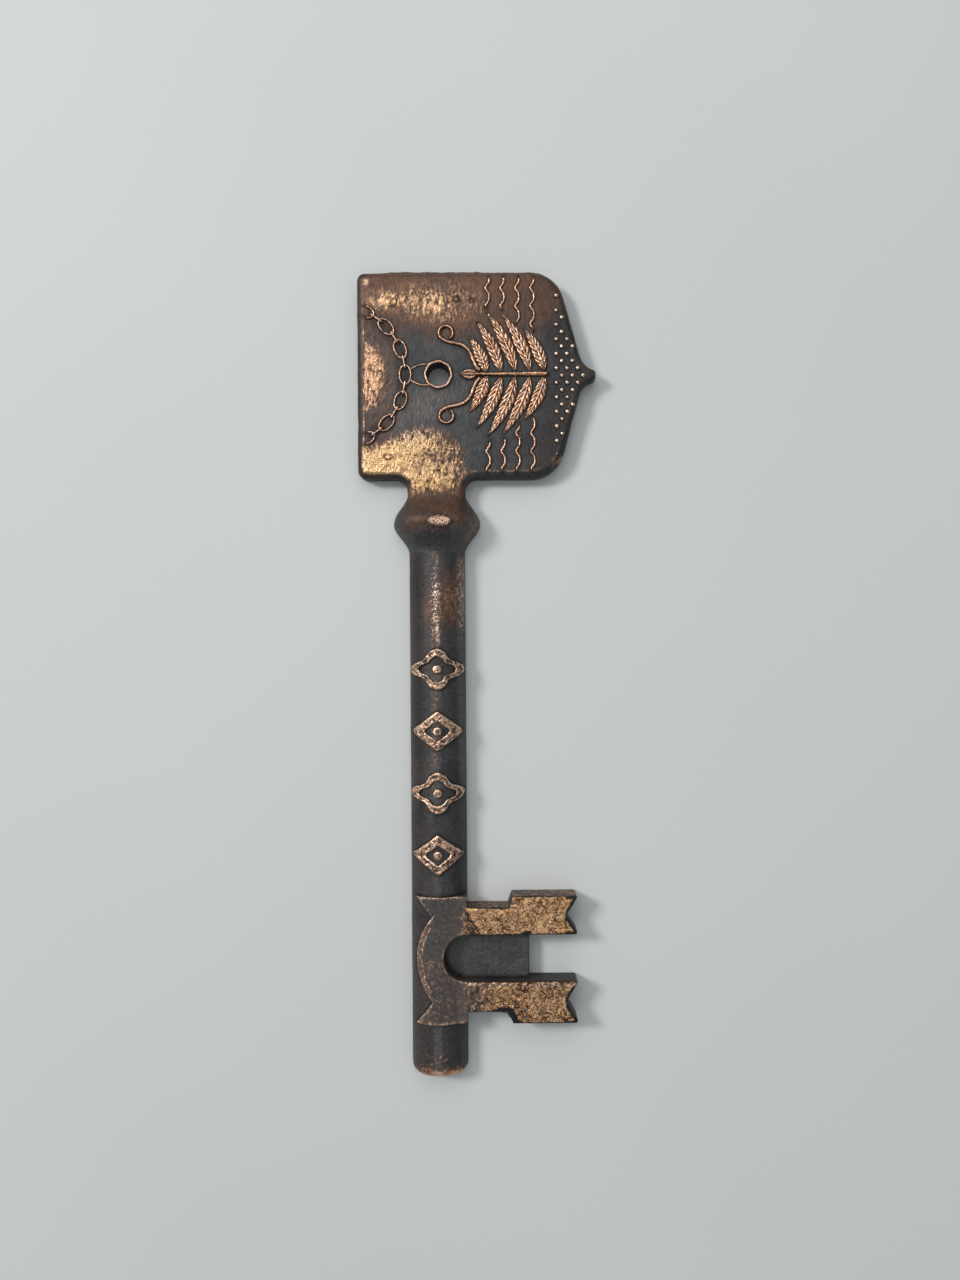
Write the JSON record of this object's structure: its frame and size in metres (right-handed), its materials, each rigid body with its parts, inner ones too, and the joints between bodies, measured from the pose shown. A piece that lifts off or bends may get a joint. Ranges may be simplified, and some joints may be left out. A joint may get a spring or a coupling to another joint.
{
  "type": "souvenir key",
  "caption": "Decorative wall key in antiqued copper: shield-shaped bow with a nail hole, turned collar, half-round shank and a two-ward bit.",
  "frame": {"origin": "centre of the hanging hole at the key's flat back", "axes": "+Z out of the decorated face, +Y to the top of the bow, the shank runs along -Y and the bit points to +X"},
  "size_m": [0.0595, 0.1996, 0.0102],
  "materials": {
    "bow_patina": "antiqued copper, polished in patches, hammered texture",
    "dark_patina": "blackened copper plate, satin, worn along its crest",
    "copper_ward": "polished antiqued copper with a cracked, pitted texture",
    "relief_copper": "raised relief, rubbed bright"
  },
  "bodies": {
    "root": {"bail_strand_1": "relief_copper", "bail_strand_2": "relief_copper", "bead_studs": "relief_copper", "bit_saddle": "dark_patina", "bit_web": "dark_patina", "bow_plate": "bow_patina", "chain_bar_1": "relief_copper", "chain_bar_2": "relief_copper", "chain_bar_3": "relief_copper", "chain_bar_4": "relief_copper", "chain_bar_5": "relief_copper", "chain_bar_6": "relief_copper", "chain_ring_1": "relief_copper", "chain_ring_2": "relief_copper", "chain_ring_3": "relief_copper", "chain_ring_4": "relief_copper", "chain_ring_5": "relief_copper", "chain_ring_6": "relief_copper", "chain_ring_7": "relief_copper", "collar": "bow_patina", "hanging_eyelet": "relief_copper", "lower_ward": "copper_ward", "shank": "dark_patina", "shank_boss_1": "relief_copper", "shank_boss_2": "relief_copper", "shank_boss_3": "relief_copper", "shank_boss_4": "relief_copper", "shank_motif_1": "relief_copper", "shank_motif_2": "relief_copper", "shank_motif_3": "relief_copper", "shank_motif_4": "relief_copper", "sprig_bud": "relief_copper", "sprig_leaf_pair_1": "relief_copper", "sprig_leaf_pair_2": "relief_copper", "sprig_leaf_pair_3": "relief_copper", "sprig_leaf_pair_4": "relief_copper", "sprig_leaf_pair_5": "relief_copper", "sprig_stem": "relief_copper", "sprig_tendril_1": "relief_copper", "sprig_tendril_2": "relief_copper", "upper_ward": "copper_ward", "wave_line_1": "relief_copper", "wave_line_2": "relief_copper", "wave_line_3": "relief_copper", "wave_line_4": "relief_copper"}
  },
  "joints": []
}
